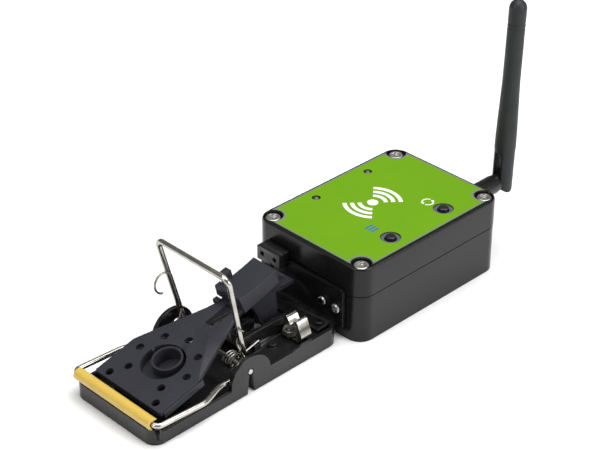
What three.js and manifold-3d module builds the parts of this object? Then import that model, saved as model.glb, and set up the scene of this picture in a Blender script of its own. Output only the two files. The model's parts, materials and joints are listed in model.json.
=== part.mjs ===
// Snap mouse trap with a radio alarm box, in millimetres, +Z up.
//
// Working frame of this file: X = 0 is the front face of the alarm box, the trap lies towards -X and
// the aerial towards +X. Y = 0 is the trap's centre plane, Z = 0 is the floor. At the very end the
// whole group is shifted so that the origin is the middle of the underside of the overall box.

import * as THREE from "three";
import { mergeVertices } from "three/addons/utils/BufferGeometryUtils.js";
import Module from "manifold-3d";

// ---------------------------------------------------------------- driving dimensions

const GAP = 0.3; // between parts that touch on the real object

// Trap base
const TRAP_FRONT = -99.7;
const TRAP_REAR = -3.7;
const TRAP_HALF = 23.25;
const TRAP_CORNER = 5;
const TRAP_WALL = 1.8;
const FLOOR_TOP = 1.6;
const FRONT_WALL_TOP = 7.05;
const FRONT_STEP = { high: -96.6, low: -94.6 }; // where the front wall's top slopes down
const SIDE_WALL_TOP = 5.5;
const REAR_WALL_TOP = 8;
const REAR_STEP = { x: -27.6, drop: 0.6 }; // the rear wall's top steps down just behind the ear
const DECK_BOTTOM = 4;
const DECK_TOP = 5.6;
const DECK_FRONT = -38.5;
const EAR = { x: -51, z: 6.4, r: 10.2 };

// Strike bar, its pin and springs
const PIN = { x: -51.3, z: 9.8, r: 1.1 };
const WIRE = 1.15; // strike bar wire radius
const EYE = 2.65; // centre line radius where the wire goes round the pin
const EYE_PITCH = 2.65; // sideways step of that turn
const BAR_REACH = 47; // pin to front bar
const HANDLE_REACH = 43.65; // pin to handle crossbar
const HANDLE_LEAN = THREE.MathUtils.degToRad(13);
const HANDLE_RISE = Math.sqrt(HANDLE_REACH ** 2 - EYE ** 2);
const LEG_INNER_Y = 19.95; // side leg at the pin, and the handle's top corners
const LEG_OUTER_Y = 24;
const JOG = { start: -75, end: -64.5, bend: 12 };
const SLEEVE = { outer: 2.45, bore: 1.45, half: 21.7, notch: 1.9 };
const SPRING = { wire: 0.45, coil: 3.45, turns: 4, innerY: 10.7, outerY: 15.3, legX: -35.5, legZ: 10 };
// Far ends of the springs' arms, with heights along the handle's leg and angles in radians
const HOOK = { radius: 4.3, start: 25.5, sweep: 4.27 };
const WRAP = { pitch: -12.5, start: 8, from: 1.9, sweep: -5.8 };

// Treadle: a plate on a slope, with the catch block behind and the hinge low under the block
const SLOPE = THREE.MathUtils.degToRad(14.15);
const TREADLE = { x: -42, z: 22.85, thick: 2, length: 52.3, half: 18.75 };
const BLOCK = { half: 6.4, start: 2.4, end: 22.4, height: 6.2, dip: 0.5, neck: 5.9 };
const CUP = { along: -33.8, moat: 9, wall: 1, tube: 6.3, well: 5.4, depth: 6.4, back: 2.1 };
const HINGE = { x: -20, z: 6, r: 1.7, hub: 2.9 };
const CHEEK = { inner: 6.7, outer: 8.7, top: 12.8, front: -43, rear: -12 };
const NOSE = { z: 24, x: -11.7 };

// Alarm box
const BOX = { length: 83, half: 29.8, y: -1.45, corner: 6.5, wall: 2.2 };
const BASE_TOP = 21;
const LID = { bottom: 21.45, top: 34.3, lip: 0.15, edge: 1.1, ceiling: 32.1 };
const SCREW_INSET = 5;
const POST = 4.3;
const LID_RECESS = { r: 3.9, z: 32.5 };
const BUTTON_X = [26.7, 58.1];
const BUTTON_Y = -21.4;
const BUTTON = { r: 2.2, recess: 4.3, recessDepth: 0.4, top: 35.4 };
const LED_X = [27.3, 57.9];
const LED_Y = 21;
const LED_R = 1.45;
const BOARD = { x0: 9, x1: 74, half: 22.5, bottom: 26, top: 27.6 };
const BOARD_SCREW_INSET = 4.2;
const CELL = { r: 7.25, length: 50.5, x: 16.6, z: 11.5, apart: 7.8 };

// Microswitch on the box front, above the left half of the bracket
const SWITCH = { x0: -6.4, x1: -0.6, y: 14.4, half: 6.4, z0: 20.4, z1: 26.9, holes: 3.6, holeR: 1 };
const PLUNGER = { x: -3.6, r: 0.9, tip: 19.7 };

// Bracket between trap and box
const BRACKET = { x0: -2.1, x1: -0.45, half: 23.2, bottom: 4.6, top: 22.8, lowTop: 19.6 };
const FLANGE = { front: -11.5, bottom: 5.9, top: 7.4, half: 19.4 };
const BRACKET_SCREW_Y = [-20, -12.5, 12.5, 20];
const BRACKET_SCREW_Z = 13.8;
const DECK_SCREW = { x: -8, y: 15.8 };

// Strip clip on the rear deck
const CLIP = { x0: -22, x1: -16.5, thick: 0.6 };
const CLIP_NUT = { x: -20.4, y: -12.5, flats: 5.5, bottom: 6.95, top: 9.2 };

// Aerial
const AERIAL = { x: 103, y: -15.4, z: 27.5, tip: 110.4, tongue: 1.3, slotTop: 41.5, foot: 4.4 };
const AERIAL_LEAN = THREE.MathUtils.degToRad(1.9);

// ---------------------------------------------------------------- solids

const wasm = await Module();
wasm.setup();

function solid(geometry) {
  const bare = geometry.clone();
  bare.deleteAttribute("normal");
  bare.deleteAttribute("uv");
  const merged = mergeVertices(bare, 1e-4);
  return new wasm.Manifold(
    new wasm.Mesh({
      numProp: 3,
      vertProperties: new Float32Array(merged.attributes.position.array),
      triVerts: new Uint32Array(merged.index.array),
    }),
  );
}

function geometryOf(manifold) {
  const mesh = manifold.getMesh();
  const geometry = new THREE.BufferGeometry();
  geometry.setAttribute("position", new THREE.BufferAttribute(mesh.vertProperties, 3));
  geometry.setIndex(new THREE.BufferAttribute(mesh.triVerts, 1));
  geometry.computeVertexNormals();
  return geometry;
}

const joined = (first, ...others) => others.reduce((a, b) => a.add(b), first);
const cut = (first, ...others) => others.reduce((a, b) => a.subtract(b), first);

function box(x0, x1, y0, y1, z0, z1) {
  const geometry = new THREE.BoxGeometry(x1 - x0, y1 - y0, z1 - z0);
  geometry.translate((x0 + x1) / 2, (y0 + y1) / 2, (z0 + z1) / 2);
  return solid(geometry);
}

// A cylinder along X, Y or Z from a to b on that axis; (u, v) are its other two coordinates.
function rod(axis, r, a, b, u, v, sides = 16) {
  const geometry = new THREE.CylinderGeometry(r, r, b - a, sides);
  const middle = (a + b) / 2;
  if (axis === "x") {
    geometry.rotateZ(Math.PI / 2);
    geometry.translate(middle, u, v);
  } else if (axis === "y") {
    geometry.translate(u, middle, v);
  } else {
    geometry.rotateX(Math.PI / 2);
    geometry.translate(u, v, middle);
  }
  return solid(geometry);
}

// An outline drawn in the XY plane, raised from z0 to z1.
function raised(shape, z0, z1, curve = 3) {
  const geometry = new THREE.ExtrudeGeometry(shape, {
    depth: z1 - z0,
    bevelEnabled: false,
    curveSegments: curve,
  });
  geometry.translate(0, 0, z0);
  return solid(geometry);
}

// An outline drawn as (x, z), carried from y0 to y1.
function acrossY(shape, y0, y1, curve = 6) {
  const geometry = new THREE.ExtrudeGeometry(shape, {
    depth: y1 - y0,
    bevelEnabled: false,
    curveSegments: curve,
  });
  geometry.rotateX(Math.PI / 2);
  geometry.translate(0, y1, 0);
  return solid(geometry);
}

// An outline drawn as (y, z), carried from x0 to x1.
function alongX(shape, x0, x1, curve = 3) {
  const geometry = new THREE.ExtrudeGeometry(shape, {
    depth: x1 - x0,
    bevelEnabled: false,
    curveSegments: curve,
  });
  const turn = new THREE.Matrix4().makeBasis(
    new THREE.Vector3(0, 1, 0),
    new THREE.Vector3(0, 0, 1),
    new THREE.Vector3(1, 0, 0),
  );
  geometry.applyMatrix4(turn);
  geometry.translate(x0, 0, 0);
  return solid(geometry);
}

function polygon(points) {
  return new THREE.Shape(points.map(([a, b]) => new THREE.Vector2(a, b)));
}

function roundedRectangle(x0, x1, y0, y1, r) {
  const shape = new THREE.Shape();
  shape.moveTo(x0 + r, y0);
  shape.lineTo(x1 - r, y0);
  shape.absarc(x1 - r, y0 + r, r, -Math.PI / 2, 0);
  shape.lineTo(x1, y1 - r);
  shape.absarc(x1 - r, y1 - r, r, 0, Math.PI / 2);
  shape.lineTo(x0 + r, y1);
  shape.absarc(x0 + r, y1 - r, r, Math.PI / 2, Math.PI);
  shape.lineTo(x0, y0 + r);
  shape.absarc(x0 + r, y0 + r, r, Math.PI, Math.PI * 1.5);
  return shape;
}

// A solid of revolution about a vertical line through (x, y); the profile is [radius, height] pairs.
function turned(profile, x, y, sides = 24) {
  const points = profile.map(([r, z]) => new THREE.Vector2(r, z));
  const geometry = new THREE.LatheGeometry(points, sides);
  geometry.rotateX(Math.PI / 2);
  geometry.translate(x, y, 0);
  return solid(geometry);
}

// A hexagonal prism; across is the distance between flats.
function hexagon(across, a, b) {
  const points = [];
  const r = across / Math.sqrt(3);
  for (let i = 0; i < 6; i++) {
    const angle = (i * Math.PI) / 3 + Math.PI / 6;
    points.push([a + r * Math.cos(angle), b + r * Math.sin(angle)]);
  }
  return polygon(points);
}

// ---------------------------------------------------------------- wires

// A polyline that an extrusion can follow exactly, vertex by vertex.
class Route extends THREE.Curve {
  constructor(points) {
    super();
    this.points = points;
  }

  getPoint(t, target = new THREE.Vector3()) {
    const place = t * (this.points.length - 1);
    const i = Math.min(Math.floor(place), this.points.length - 2);
    return target.lerpVectors(this.points[i], this.points[i + 1], place - i);
  }

  getPointAt(u, target) {
    return this.getPoint(u, target);
  }

  getTangentAt(u, target = new THREE.Vector3()) {
    const i = Math.round(u * (this.points.length - 1));
    const before = this.points[Math.max(i - 1, 0)];
    const after = this.points[Math.min(i + 1, this.points.length - 1)];
    return target.subVectors(after, before).normalize();
  }
}

// Corner points with every inner corner rounded to its own bend radius: [x, y, z, bend].
function rounded(corners, bendSteps = 4) {
  const at = (i) => new THREE.Vector3(...corners[i].slice(0, 3));
  const points = [at(0)];
  for (let i = 1; i < corners.length - 1; i++) {
    const here = at(i);
    const back = at(i - 1).sub(here).normalize();
    const ahead = at(i + 1).sub(here).normalize();
    const half = Math.acos(THREE.MathUtils.clamp(back.dot(ahead), -1, 1)) / 2;
    const bend = corners[i][3];
    const reach = bend / Math.tan(half);
    const centre = back.clone().add(ahead).normalize().multiplyScalar(bend / Math.sin(half)).add(here);
    const from = here.clone().addScaledVector(back, reach).sub(centre);
    const to = here.clone().addScaledVector(ahead, reach).sub(centre);
    const sweep = Math.PI - 2 * half;
    for (let k = 0; k <= bendSteps; k++) {
      const t = k / bendSteps;
      const point = from.clone().multiplyScalar(Math.sin((1 - t) * sweep));
      point.addScaledVector(to, Math.sin(t * sweep)).divideScalar(Math.sin(sweep));
      points.push(point.add(centre));
    }
  }
  points.push(at(corners.length - 1));
  return points;
}

function wire(points, radius, sides = 8) {
  const section = new THREE.Shape();
  section.absarc(0, 0, radius, 0, Math.PI * 2);
  return new THREE.ExtrudeGeometry(section, {
    steps: points.length - 1,
    curveSegments: sides,
    bevelEnabled: false,
    extrudePath: new Route(points),
  });
}

// A bent strip: the centre line's points, given a thickness.
function strip(points, thickness) {
  const side = (sign) =>
    points.map((p, i) => {
      const a = points[Math.max(i - 1, 0)];
      const b = points[Math.min(i + 1, points.length - 1)];
      const length = Math.hypot(b[0] - a[0], b[1] - a[1]);
      const nx = -(b[1] - a[1]) / length;
      const ny = (b[0] - a[0]) / length;
      return [p[0] + (sign * nx * thickness) / 2, p[1] + (sign * ny * thickness) / 2];
    });
  return polygon([...side(-1), ...side(1).reverse()]);
}

// ---------------------------------------------------------------- colours

const finish = (color, roughness, metalness = 0) => () =>
  new THREE.MeshStandardMaterial({ color, roughness, metalness });
const blackPlastic = finish(0x1b1b1b, 0.35);
const greyPlastic = finish(0x3c3d42, 0.55);
const yellowPlastic = finish(0xf0c93c, 0.45);
const greenFilm = finish(0x77b01d, 0.4);
const softBlack = finish(0x2c2f2e, 0.6);
const brightSteel = finish(0xc9c9c4, 0.25, 1);
const blackSteel = finish(0x202022, 0.4, 0.6);
const brass = finish(0xc8a24a, 0.3, 1);
const boardGreen = finish(0x1d5b34, 0.5);
const lampGrey = finish(0x4a4d50, 0.2);
const cellBlue = finish(0x2f4e8c, 0.4);
const rubber = finish(0x333333, 0.8);

const object = new THREE.Group();

function place(name, shape, material, parent = object) {
  const geometry = shape.isBufferGeometry ? shape : geometryOf(shape);
  const mesh = new THREE.Mesh(geometry, material());
  mesh.name = name;
  parent.add(mesh);
}

// ---------------------------------------------------------------- trap

// Side view of the base: low walls in front, the round ear at the pin, higher walls behind.
function baseSilhouette() {
  const shoulder = REAR_WALL_TOP - REAR_STEP.drop;
  const meet = Math.sqrt(EAR.r ** 2 - (SIDE_WALL_TOP - EAR.z) ** 2);
  const leave = Math.sqrt(EAR.r ** 2 - (shoulder - EAR.z) ** 2);
  const shape = new THREE.Shape();
  shape.moveTo(TRAP_FRONT, 0);
  shape.lineTo(TRAP_REAR, 0);
  shape.lineTo(TRAP_REAR, REAR_WALL_TOP);
  shape.lineTo(REAR_STEP.x, REAR_WALL_TOP);
  shape.lineTo(REAR_STEP.x - REAR_STEP.drop, shoulder);
  shape.lineTo(EAR.x + leave, shoulder);
  const rearAngle = Math.asin((shoulder - EAR.z) / EAR.r);
  const frontAngle = Math.PI - Math.asin((SIDE_WALL_TOP - EAR.z) / EAR.r);
  shape.absarc(EAR.x, EAR.z, EAR.r, rearAngle, frontAngle);
  shape.lineTo(EAR.x - meet, SIDE_WALL_TOP);
  shape.lineTo(FRONT_STEP.low, SIDE_WALL_TOP);
  shape.lineTo(FRONT_STEP.high, FRONT_WALL_TOP);
  shape.lineTo(TRAP_FRONT, FRONT_WALL_TOP);
  return shape;
}

// The pin drops in from below through a slot that narrows just under it.
function pinSlot(y0, y1) {
  const shape = new THREE.Shape();
  const seat = PIN.r + GAP;
  shape.moveTo(PIN.x - 1.95, -1);
  shape.lineTo(PIN.x + 1.95, -1);
  shape.lineTo(PIN.x + 0.95, PIN.z - seat);
  shape.absarc(PIN.x, PIN.z, seat, -0.7, Math.PI + 0.7);
  shape.lineTo(PIN.x - 0.95, PIN.z - seat);
  return acrossY(shape, y0, y1, 4);
}

// One of the two ribs that hold the treadle's hinge, with a ledge for the spring's fixed end.
function hingeRib(side) {
  const y0 = side > 0 ? CHEEK.inner : -CHEEK.outer;
  const y1 = side > 0 ? CHEEK.outer : -CHEEK.inner;
  const outline = polygon([
    [CHEEK.front, 0.4],
    [CHEEK.rear, 0.4],
    [CHEEK.rear, DECK_TOP],
    [CHEEK.rear - 3.5, CHEEK.top - 1.5],
    [CHEEK.rear - 6, CHEEK.top],
    [CHEEK.front + 1, CHEEK.top],
    [CHEEK.front, CHEEK.top - 1],
  ]);
  const ledge = box(-38, -34.5, side > 0 ? y1 - 0.5 : y0 - 2.4, side > 0 ? y1 + 2.4 : y0 + 0.5, 0.4, 8.6);
  return joined(acrossY(outline, y0, y1), ledge);
}

// The treadle's hinge pins clip in from below.
function hingeSlot() {
  const seat = HINGE.r + GAP;
  const slot = new THREE.Shape();
  slot.moveTo(HINGE.x - 1.9, -1);
  slot.lineTo(HINGE.x + 1.9, -1);
  slot.lineTo(HINGE.x + 1.6, HINGE.z - 1.3);
  slot.absarc(HINGE.x, HINGE.z, seat, -0.7, Math.PI + 0.7);
  slot.lineTo(HINGE.x - 1.6, HINGE.z - 1.3);
  return acrossY(slot, -CHEEK.outer - GAP, CHEEK.outer + GAP, 4);
}

function trapBase() {
  const outline = roundedRectangle(TRAP_FRONT, TRAP_REAR, -TRAP_HALF, TRAP_HALF, TRAP_CORNER);
  const inner = roundedRectangle(
    TRAP_FRONT + TRAP_WALL,
    TRAP_REAR - TRAP_WALL,
    -TRAP_HALF + TRAP_WALL,
    TRAP_HALF - TRAP_WALL,
    TRAP_CORNER - TRAP_WALL,
  );
  const tall = EAR.z + EAR.r + 1;
  const walls = cut(raised(outline, 0, tall), raised(inner, -1, tall + 1));
  const silhouette = acrossY(baseSilhouette(), -TRAP_HALF - 1, TRAP_HALF + 1);
  const floor = raised(outline, 0, FLOOR_TOP).intersect(
    box(TRAP_FRONT, DECK_FRONT, -TRAP_HALF, TRAP_HALF, 0, FLOOR_TOP),
  );
  const edge = TRAP_HALF - TRAP_WALL / 2;
  const deck = box(DECK_FRONT, TRAP_REAR - TRAP_WALL / 2, -edge, edge, DECK_BOTTOM, DECK_TOP);
  const step = box(DECK_FRONT - 1.6, DECK_FRONT, -edge, edge, 0, DECK_TOP);
  const pocket = box(DECK_FRONT + 3, CHEEK.rear, -CHEEK.inner + 0.2, CHEEK.inner - 0.2, 3, 7);
  const atDeckScrews = (r, z0, z1) =>
    [-1, 1].map((side) => rod("z", r, z0, z1, DECK_SCREW.x, side * DECK_SCREW.y));
  const bosses = atDeckScrews(2.8, 0.3, DECK_BOTTOM + 0.5);
  const bossHoles = atDeckScrews(1.35, -1, DECK_TOP + 1);
  // Ribs that stop the treadle's front edge at the end of its travel.
  const stops = [-1, 1].map((side) => box(-88.5, -86.5, side * 11 - 2, side * 11 + 2, FLOOR_TOP - 0.3, 8.25));
  const studs = [
    rod("z", 2, DECK_TOP - 0.3, DECK_TOP + 1.6, -30, -12.4),
    rod("z", 2, DECK_TOP - 0.3, DECK_TOP + 1.6, -30, 12.4),
  ];
  const rearGate = box(TRAP_REAR - TRAP_WALL - 1, TRAP_REAR + 1, -20.4, 20.4, DECK_TOP, 12);
  const clipHole = rod("z", 1.7, 3, 7, CLIP_NUT.x, CLIP_NUT.y);
  return cut(
    joined(
      walls.intersect(silhouette),
      floor,
      cut(deck, pocket),
      step,
      hingeRib(-1),
      hingeRib(1),
      ...bosses,
      ...studs,
      ...stops,
    ),
    ...bossHoles,
    pinSlot(14, TRAP_HALF + 1),
    pinSlot(-TRAP_HALF - 1, -14),
    rearGate,
    clipHole,
    hingeSlot(),
  );
}

// One half of the strike bar's centre line, from the middle of the front bar to the middle of the
// handle: front bar, side leg with a jog inwards, one full turn round the pin that steps further
// inwards, and the upright leg that spreads again towards its top.
function strikeBarHalf(side) {
  const barX = PIN.x - BAR_REACH;
  const legAngle = Math.asin(EYE / BAR_REACH);
  const legZ = (x) => PIN.z - EYE / Math.cos(legAngle) + (PIN.x - x) * Math.tan(legAngle);
  const eyeStart = -Math.PI / 2 - legAngle;
  const eyeEnd = 2 * Math.PI + HANDLE_LEAN;
  const turning = eyeEnd - eyeStart;
  const crossing = eyeStart + 2 * Math.PI - HANDLE_LEAN;
  const steps = 18;
  const eye = [];
  for (let i = 0; i <= steps; i++) {
    const angle = eyeStart + (turning * i) / steps;
    const sideways = THREE.MathUtils.clamp((angle - HANDLE_LEAN) / crossing, 0, 1);
    eye.push(
      new THREE.Vector3(
        PIN.x + EYE * Math.cos(angle),
        side * (LEG_INNER_Y - EYE_PITCH * sideways),
        PIN.z + EYE * Math.sin(angle),
      ),
    );
  }
  const leg = rounded(
    [
      [barX, side * 0.5, legZ(barX), 0],
      [barX, side * LEG_OUTER_Y, legZ(barX), 2.2],
      [JOG.start, side * LEG_OUTER_Y, legZ(JOG.start), JOG.bend],
      [JOG.end, side * LEG_INNER_Y, legZ(JOG.end), JOG.bend],
      [eye[0].x, eye[0].y, eye[0].z, 0],
    ],
    3,
  );
  const topX = eye.at(-1).x - HANDLE_RISE * Math.sin(HANDLE_LEAN);
  const topZ = eye.at(-1).z + HANDLE_RISE * Math.cos(HANDLE_LEAN);
  const handle = rounded(
    [
      [eye.at(-1).x, eye.at(-1).y, eye.at(-1).z, 0],
      [topX, side * LEG_INNER_Y, topZ, 3.2],
      [topX, 0, topZ, 0],
    ],
    4,
  );
  return [...leg, ...eye.slice(1), ...handle.slice(1)];
}

// The bar is one wire whose two ends meet in the middle of the sleeve.
function strikeBar() {
  const left = strikeBarHalf(1).reverse();
  return wire([...strikeBarHalf(-1), ...left.slice(1)], WIRE, 4);
}

function barSleeve() {
  const x = PIN.x - BAR_REACH;
  const tube = cut(
    rod("y", SLEEVE.outer, -SLEEVE.half, SLEEVE.half, x, PIN.z, 24),
    rod("y", SLEEVE.bore, -SLEEVE.half - 1, SLEEVE.half + 1, x, PIN.z, 16),
  );
  const slit = box(x - 0.5, x + 0.5, -SLEEVE.half - 1, SLEEVE.half + 1, PIN.z - 4, PIN.z);
  const notches = [-1, 1].map((side) => {
    const y0 = side > 0 ? SLEEVE.half - SLEEVE.notch : -SLEEVE.half - 1;
    const y1 = side > 0 ? SLEEVE.half + 1 : -SLEEVE.half + SLEEVE.notch;
    return box(x - 0.2, x + 4, y0, y1, PIN.z - SLEEVE.bore, PIN.z + SLEEVE.bore);
  });
  return cut(tube, slit, ...notches);
}

// How far out the handle's leg is at a height along it.
const legY = (along) => LEG_INNER_Y - EYE_PITCH * (1 - along / HANDLE_RISE);

// A torsion spring: one end rests on the base behind the pin, the coil goes round the pin, and the
// other end runs up to the handle's leg. side is -1 for the right spring, 1 for the left.
function springWire(side, end) {
  const run = SPRING.legX - PIN.x;
  const drop = SPRING.legZ - PIN.z;
  const start = Math.atan2(drop, run) - Math.acos(SPRING.coil / Math.hypot(run, drop));
  const sweep = Math.PI + HANDLE_LEAN - SPRING.turns * 2 * Math.PI - start;
  const stepsPerTurn = 12;
  const count = Math.round((Math.abs(sweep) / (2 * Math.PI)) * stepsPerTurn);
  const points = [new THREE.Vector3(SPRING.legX, side * SPRING.innerY, SPRING.legZ)];
  for (let i = 0; i <= count; i++) {
    const t = i / count;
    const angle = start + sweep * t;
    points.push(
      new THREE.Vector3(
        PIN.x + SPRING.coil * Math.cos(angle),
        side * THREE.MathUtils.lerp(SPRING.innerY, SPRING.outerY, t),
        PIN.z + SPRING.coil * Math.sin(angle),
      ),
    );
  }
  // A point by the handle's leg: along it, behind the pin's line, and out from the middle plane.
  const byLeg = (along, behind, y) =>
    new THREE.Vector3(
      PIN.x + behind * Math.cos(HANDLE_LEAN) - along * Math.sin(HANDLE_LEAN),
      side * y,
      PIN.z + behind * Math.sin(HANDLE_LEAN) + along * Math.cos(HANDLE_LEAN),
    );
  const clear = WIRE + SPRING.wire + GAP;
  const far = end === HOOK ? hookEnd(byLeg, clear) : wrapEnd(byLeg, clear);
  const foot = end === HOOK ? byLeg(9, EYE, legY(9) - clear) : byLeg(5, -1.4, SPRING.outerY + 1.2);
  const arm = rounded(
    [
      [...points.at(-1).toArray(), 0],
      [...byLeg(2.5, -SPRING.coil, SPRING.outerY).toArray(), 2],
      [...foot.toArray(), 2],
      [...far[0].toArray(), 0],
    ],
    3,
  );
  return wire([...points, ...arm.slice(1), ...far.slice(1)], SPRING.wire, 3);
}

// A wide open hook beside the handle's leg.
function hookEnd(byLeg, clear) {
  const points = [];
  const steps = 12;
  for (let i = 0; i <= steps; i++) {
    const angle = (HOOK.sweep * i) / steps;
    const along = HOOK.start + HOOK.radius * Math.sin(angle);
    points.push(byLeg(along, EYE - HOOK.radius * (1 - Math.cos(angle)), legY(along) - clear));
  }
  return points;
}

// A steep wrap round the handle's leg: over its front, its inner side, its back and its outer side.
function wrapEnd(byLeg, clear) {
  const points = [];
  const steps = 16;
  for (let i = 0; i <= steps; i++) {
    const swept = (WRAP.sweep * i) / steps;
    const angle = WRAP.from + swept;
    const along = WRAP.start + (WRAP.pitch * swept) / (2 * Math.PI);
    points.push(byLeg(along, EYE - clear * Math.sin(angle), legY(along) - clear * Math.cos(angle)));
  }
  return points;
}

function sloped(geometrySolid) {
  const turn = new THREE.Matrix4().makeRotationY(-SLOPE);
  turn.setPosition(TREADLE.x, 0, TREADLE.z);
  return geometrySolid.transform(turn.elements);
}

function treadlePlate() {
  const shape = new THREE.Shape();
  const front = -TREADLE.length;
  const bendAt = -32.4;
  const nick = 0.5;
  shape.moveTo(front, -TREADLE.half + nick);
  shape.lineTo(front + nick, -TREADLE.half);
  shape.lineTo(bendAt, -TREADLE.half);
  shape.lineTo(-0.8, -BLOCK.neck);
  shape.lineTo(BLOCK.start + 2, -BLOCK.neck);
  shape.lineTo(BLOCK.start + 2, BLOCK.neck);
  shape.lineTo(-0.8, BLOCK.neck);
  shape.lineTo(bendAt, TREADLE.half);
  shape.lineTo(front + nick, TREADLE.half);
  shape.lineTo(front, TREADLE.half - nick);
  return raised(shape, -TREADLE.thick, 0);
}

// Scent holes: seven round the bait cup at every 45 degrees but the front one, and two in the corners.
function scentHoles() {
  const radius = 1.7;
  const ring = 13.4; // between the cup's middle and the holes
  const holes = [];
  for (let i = -3; i <= 3; i++) {
    const angle = (i * Math.PI) / 4;
    holes.push([CUP.along + ring * Math.cos(angle), ring * Math.sin(angle)]);
  }
  holes.push([CUP.along - 15.7, ring], [CUP.along - 15.7, -ring]);
  return holes.map(([x, y]) => rod("z", radius, -TREADLE.thick - 1, 1, x, y, 12));
}

// Bait cup: a round moat let into the plate, and a small well standing in it a little towards the
// back. The body is added to the plate before the hollows are cut.
function cupBody() {
  const floor = -CUP.depth;
  return turned(
    [
      [0, floor - 1.2],
      [CUP.tube + 1.3, floor - 1.2],
      [CUP.moat + CUP.wall, floor + 1.4],
      [CUP.moat + CUP.wall, -0.5],
      [0, -0.5],
    ],
    CUP.along,
    0,
    24,
  );
}

function cupHollows() {
  const moat = rod("z", CUP.moat, -CUP.depth + 1.8, 1, CUP.along, 0, 28);
  const tube = rod("z", CUP.tube, -CUP.depth, -0.15, CUP.along + CUP.back, 0, 24);
  return [cut(moat, tube), rod("z", CUP.well, -CUP.depth, 1, CUP.along + CUP.back, 0, 24)];
}

function catchBlock() {
  const shape = new THREE.Shape();
  const middle = (BLOCK.start + BLOCK.end) / 2;
  shape.moveTo(BLOCK.start + 1, -TREADLE.thick + 0.3);
  shape.lineTo(BLOCK.end, -0.6);
  shape.lineTo(BLOCK.end, BLOCK.height);
  shape.quadraticCurveTo(middle + 2, BLOCK.height - 2 * BLOCK.dip, BLOCK.start, BLOCK.height);
  return acrossY(shape, -BLOCK.half, BLOCK.half, 5);
}

// The web that carries the block down to the hinge, and the nose that laps over the set handle.
function hingeWeb() {
  const web = polygon([
    [-32, 22.5],
    [HINGE.x - HINGE.hub, HINGE.z],
    [HINGE.x + HINGE.hub, HINGE.z],
    [-18.2, 19.8],
    [-18.4, 22.5],
    [-21.2, 27.6],
  ]);
  const nose = polygon([
    [-21.6, 27.6],
    [-20, 21],
    [-16, 21],
    [-14.8, NOSE.z],
    [NOSE.x, NOSE.z],
    [NOSE.x - 0.6, 25.4],
    [-14.5, 27],
  ]);
  return joined(
    acrossY(web, -2.4, 2.4),
    acrossY(nose, -2.6, 2.6),
    rod("y", HINGE.hub, -5, 5, HINGE.x, HINGE.z, 18),
    rod("y", HINGE.r, -CHEEK.outer + 0.1, CHEEK.outer - 0.1, HINGE.x, HINGE.z, 16),
  );
}

// The finger that reaches back under the microswitch, below the path of the handle's crossbar.
function switchFinger() {
  return joined(
    box(-20, -4.6, 1.5, 4.6, 16.3, 18.2),
    box(-7, -4.6, 1.5, SWITCH.y + 1.2, 16.3, 18.2),
    box(-6, -4.6, SWITCH.y - 1.2, SWITCH.y + 1.2, 17, PLUNGER.tip - GAP),
  );
}

function treadle() {
  const slots = [
    box(-10.2, BLOCK.start - 0.4, -2, 2, -4, 1),
    box(-6.5, BLOCK.start - 0.4, -3, -1.9, -4, 1),
  ];
  const rim = [-1, 1].map((side) =>
    box(-TREADLE.length + 1.5, CUP.along + 3, side * TREADLE.half - 0.6, side * TREADLE.half, -3.6, -1),
  );
  const lip = box(-TREADLE.length, -TREADLE.length + 1.2, -16.5, 16.5, -3.2, -1);
  const blank = joined(treadlePlate(), ...rim, lip, cupBody());
  const plate = cut(blank, ...cupHollows(), ...scentHoles(), ...slots);
  const web = box(CUP.along + CUP.moat - 1.6, CUP.along + CUP.moat + 0.4, -0.6, 0.6, -4, -0.3);
  // Lugs on the far side of the block, and one beside the plate.
  const lugs = [
    box(6.2, 10, BLOCK.half - 1.2, 8.3, 4.6, 9.9),
    box(BLOCK.start + 0.2, 5.4, BLOCK.half - 1, 8.1, 0.8, 6),
    box(-0.2, 2, BLOCK.neck - 1, 7.9, -1.2, 0.9),
  ];
  return joined(sloped(joined(plate, web, catchBlock(), ...lugs)), hingeWeb(), switchFinger());
}

// ---------------------------------------------------------------- clip, bracket and screws

// A round-headed cross-slot screw along X or Z: top of the head, seat under the head, tip of the
// shank, and the other two coordinates (u, v) of its axis.
function screw(axis, headR, shankR, head, seat, tip, u, v) {
  const sign = Math.sign(tip - seat);
  const profile = [
    [0, tip],
    [shankR, tip],
    [shankR, seat],
    [headR, seat],
    [headR, head + sign * 0.45],
    [headR - 0.45, head],
    [0, head],
  ];
  const body = turned(sign > 0 ? profile.reverse() : profile, 0, 0, 14);
  const arm = headR * 0.6;
  const half = headR * 0.2;
  const depth = 0.8;
  const [low, high] = sign > 0 ? [head - 1, head + depth] : [head - depth, head + 1];
  const cross = [box(-arm, arm, -half, half, low, high), box(-half, half, -arm, arm, low, high)];
  const upright = cut(body, ...cross);
  if (axis === "z") {
    return upright.translate(u, v, 0);
  }
  return upright.rotate(0, 90, 0).translate(0, u, v);
}

function springClip() {
  const line = [
    [-9.6, DECK_TOP + 0.7],
    [-18.2, DECK_TOP + 0.7],
    [-19.3, DECK_TOP + 1.3],
    [-20.3, 8.9],
    [-20.1, 10],
    [-17.9, 14.8],
    [-17.2, 15.3],
    [-16.5, 14.9],
    [-15.3, 12.9],
    [-14.5, 12.4],
    [-13.7, 12.8],
    [-12.6, 14.8],
    [-11.9, 15.3],
    [-11.1, 15],
    [-10.6, 14.2],
  ];
  return cut(
    alongX(strip(line, CLIP.thick), CLIP.x0, CLIP.x1),
    rod("z", 1.75, 5, 8, CLIP_NUT.x, CLIP_NUT.y),
  );
}

function clipNut() {
  return cut(
    raised(hexagon(CLIP_NUT.flats, CLIP_NUT.x, CLIP_NUT.y), CLIP_NUT.bottom, CLIP_NUT.top),
    rod("z", 1.7, 5, 11, CLIP_NUT.x, CLIP_NUT.y),
  );
}

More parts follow.
